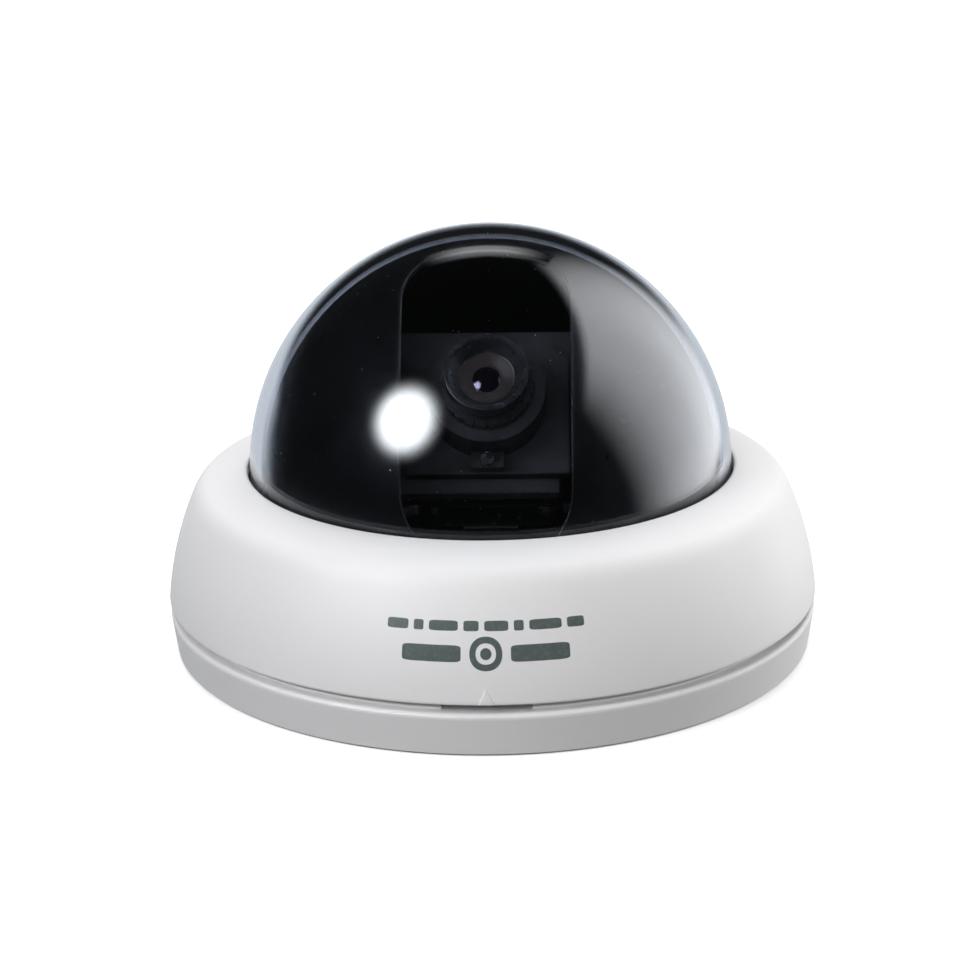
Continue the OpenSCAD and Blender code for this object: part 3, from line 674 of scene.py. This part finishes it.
VIEW_ELEVATION = math.radians(18.11)
VIEW_ROLL = math.radians(0.953)
VIEW_TURN = math.radians(1.5)
VIEW_DISTANCE = 0.48
VIEW_LEFT = 1.98 * MM
VIEW_LIFT = 27.47 * MM
FOCAL_LENGTH = 96.74
AIM = Vector((0, 0, 0.04))
ROUND_FADE = 0.62


def camera():
    """Camera in front and above, tipped by a slight roll."""
    forward = Vector((0, math.cos(VIEW_ELEVATION), -math.sin(VIEW_ELEVATION)))
    across = Vector((1, 0, 0))
    up = Vector((0, math.sin(VIEW_ELEVATION), math.cos(VIEW_ELEVATION)))
    right = across * math.cos(VIEW_ROLL) - up * math.sin(VIEW_ROLL)
    top = across * math.sin(VIEW_ROLL) + up * math.cos(VIEW_ROLL)
    data = bpy.data.cameras.new("view")
    data.lens = FOCAL_LENGTH
    data.sensor_width = 36.0
    data.clip_end = 50.0
    view = bpy.data.objects.new("view", data)
    turn = Matrix((right, top, -forward)).transposed().to_4x4()
    view.matrix_world = Matrix.Rotation(VIEW_TURN, 4, "Z") @ Matrix.Translation(
        -forward * VIEW_DISTANCE - across * VIEW_LEFT + up * VIEW_LIFT) @ turn
    bpy.context.scene.collection.objects.link(view)
    bpy.context.scene.camera = view


def direction(azimuth, elevation):
    """Unit vector; azimuth 0 is the front, positive to the right."""
    a, e = math.radians(azimuth), math.radians(elevation)
    return Vector((math.sin(a) * math.cos(e), -math.cos(a) * math.cos(e), math.sin(e)))


def soft_light(name, azimuth, elevation, distance, width, height, power, colour, shape):
    """Area light that faces the camera body from a direction; the cards stand in for its gleam."""
    data = bpy.data.lights.new(name, "AREA")
    data.shape = shape
    data.size = width
    data.size_y = height
    data.energy = power
    data.color = colour
    light = bpy.data.objects.new(name, data)
    way = direction(azimuth, elevation)
    light.matrix_world = (Matrix.Translation(AIM + way * distance)
                          @ way.to_track_quat("Z", "Y").to_matrix().to_4x4())
    light.visible_glossy = False
    light.visible_transmission = False
    bpy.context.scene.collection.objects.link(light)


def glow_card(name, azimuth, elevation, distance, width, height, strength, fade, colour, roll):
    """Soft-edged light card that only shows in reflections; fade is the faded share of each half."""
    mesh = bpy.data.meshes.new(name)
    mesh.from_pydata([(x * width / 2, y * height / 2, 0) for x, y in
                      ((-1, -1), (1, -1), (1, 1), (-1, 1))], [], [(0, 1, 2, 3)])
    card = bpy.data.objects.new(name, mesh)
    way = direction(azimuth, elevation)
    card.matrix_world = (Matrix.Translation(AIM + way * distance)
                         @ way.to_track_quat("Z", "Y").to_matrix().to_4x4()
                         @ Matrix.Rotation(math.radians(roll), 4, "Z"))
    material = bpy.data.materials.new(name)
    material.use_nodes = True
    tree = material.node_tree
    tree.nodes.clear()
    out = tree.nodes.new("ShaderNodeOutputMaterial")
    glow = tree.nodes.new("ShaderNodeEmission")
    glow.inputs["Color"].default_value = (*colour, 1)
    coords = tree.nodes.new("ShaderNodeTexCoord")
    if fade == "round":  # the fall from the centre is taken three times, for a bright core
        far = tree.nodes.new("ShaderNodeVectorMath")
        far.operation = "LENGTH"
        tree.links.new(coords.outputs["Object"], far.inputs[0])
        values = [(far.outputs["Value"], width / 2, ROUND_FADE)] * 3
    else:
        split = tree.nodes.new("ShaderNodeSeparateXYZ")
        tree.links.new(coords.outputs["Object"], split.inputs["Vector"])
        values = [(split.outputs["X"], width / 2, fade[0]), (split.outputs["Y"], height / 2, fade[1])]
    full = tree.nodes.new("ShaderNodeValue")
    full.outputs[0].default_value = strength
    product = full.outputs[0]
    for value, half, share in values:
        distance_out = tree.nodes.new("ShaderNodeMath")
        distance_out.operation = "ABSOLUTE"
        tree.links.new(value, distance_out.inputs[0])
        ramp = tree.nodes.new("ShaderNodeMapRange")
        ramp.interpolation_type = "SMOOTHSTEP"
        ramp.inputs["From Min"].default_value = half
        ramp.inputs["From Max"].default_value = half * (1 - share)
        tree.links.new(distance_out.outputs[0], ramp.inputs["Value"])
        times = tree.nodes.new("ShaderNodeMath")
        times.operation = "MULTIPLY"
        tree.links.new(ramp.outputs["Result"], times.inputs[0])
        tree.links.new(product, times.inputs[1])
        product = times.outputs[0]
    tree.links.new(product, glow.inputs["Strength"])
    tree.links.new(glow.outputs["Emission"], out.inputs["Surface"])
    mesh.materials.append(material)
    card.visible_camera = False
    card.visible_shadow = False
    card.visible_diffuse = False
    bpy.context.scene.collection.objects.link(card)


def floor():
    """Wide pale floor, left out of reflections so that the dome shows only the soft lights."""
    mesh = bpy.data.meshes.new("floor")
    reach = 6.0
    mesh.from_pydata([(-reach, -reach, 0), (reach, -reach, 0), (reach, reach, 0), (-reach, reach, 0)],
                     [], [(0, 1, 2, 3)])
    f = Finish("pale_floor", (0.93, 0.93, 0.93), 0.9, specular=0.1)
    f.tint(f.ranged(f.noise(3, 2), 0.3, 0.7, 0.0, 0.3), (0.92, 0.92, 0.925))
    f.shader.inputs["Emission Color"].default_value = (1, 1, 1, 1)
    f.shader.inputs["Emission Strength"].default_value = 0.3
    mesh.materials.append(f.material)
    ground = bpy.data.objects.new("floor", mesh)
    ground.visible_glossy = False
    ground.visible_diffuse = False
    ground.visible_transmission = False
    ground.visible_shadow = False
    bpy.context.scene.collection.objects.link(ground)


def lights():
    """Soft lamps for the shading, and soft-edged cards for what the gloss mirrors.

    Cool key from the left, large soft fills from the front, right and behind; cards to the right,
    behind and low on both sides.
    """
    white = (1.0, 1.0, 1.0)
    lamps = (  # name, azimuth, elevation, distance, width, height, power, colour, shape
        ("key", -47.5, 31.5, 1.5, 0.7, 0.7, 9.9, (0.965, 0.972, 1.0), "DISK"),
        ("fill_front", 0, 25, 2.0, 1.4, 1.0, 15.2, white, "RECTANGLE"),
        ("fill_top", 0, 82, 1.6, 1.4, 1.4, 6.0, white, "RECTANGLE"),
        ("fill_left", -85, 30, 1.6, 1.2, 1.0, 2.4, white, "RECTANGLE"),
        ("fill_right", 66, 25, 1.8, 1.2, 1.0, 5.6, (1.0, 1.0, 0.975), "RECTANGLE"),
        ("fill_back", 175, 52, 2.0, 2.0, 1.2, 33.0, white, "RECTANGLE"),
        ("fill_low_right", 112, -4, 1.4, 0.8, 0.8, 10.0, white, "RECTANGLE"),
        ("fill_low_left", -120, 0, 1.4, 0.8, 0.8, 1.2, white, "RECTANGLE"),
    )
    for lamp in lamps:
        soft_light(*lamp)
    cards = (  # name, azimuth, elevation, distance, width, height, strength, fade, colour, roll
        ("card_key", -46, 31.5, 1.5, 1.25, 1.25, 16.0, "round", (0.95, 0.98, 1.0), 0),
        ("card_right", 111, 19, 1.3, 3.1, 2.15, 2.6, (0.9, 0.2), white, 8),
        ("card_behind", -178, 42.5, 1.4, 0.8, 0.24, 1.5, (0.8, 0.7), white, 0),
        ("card_backdrop", 180, -21, 1.5, 4.6, 1.5, 0.85, (0.3, 0.3), (0.88, 0.94, 1.0), 0),
    )
    for card in cards:
        glow_card(*card)
    world = bpy.data.worlds.new("studio")
    world.use_nodes = True
    background = world.node_tree.nodes["Background"]
    background.inputs["Color"].default_value = (0.9, 0.95, 1.0, 1)
    background.inputs["Strength"].default_value = 0.015
    bpy.context.scene.world = world
    bpy.context.scene.view_settings.view_transform = "Standard"


camera()
dress_cad_nodes()
cover_shell()
cover_bosses()
cover_arrow()
cover_print()
dome_shell()
liner_shell()
lens_front_parts()
floor()
lights()
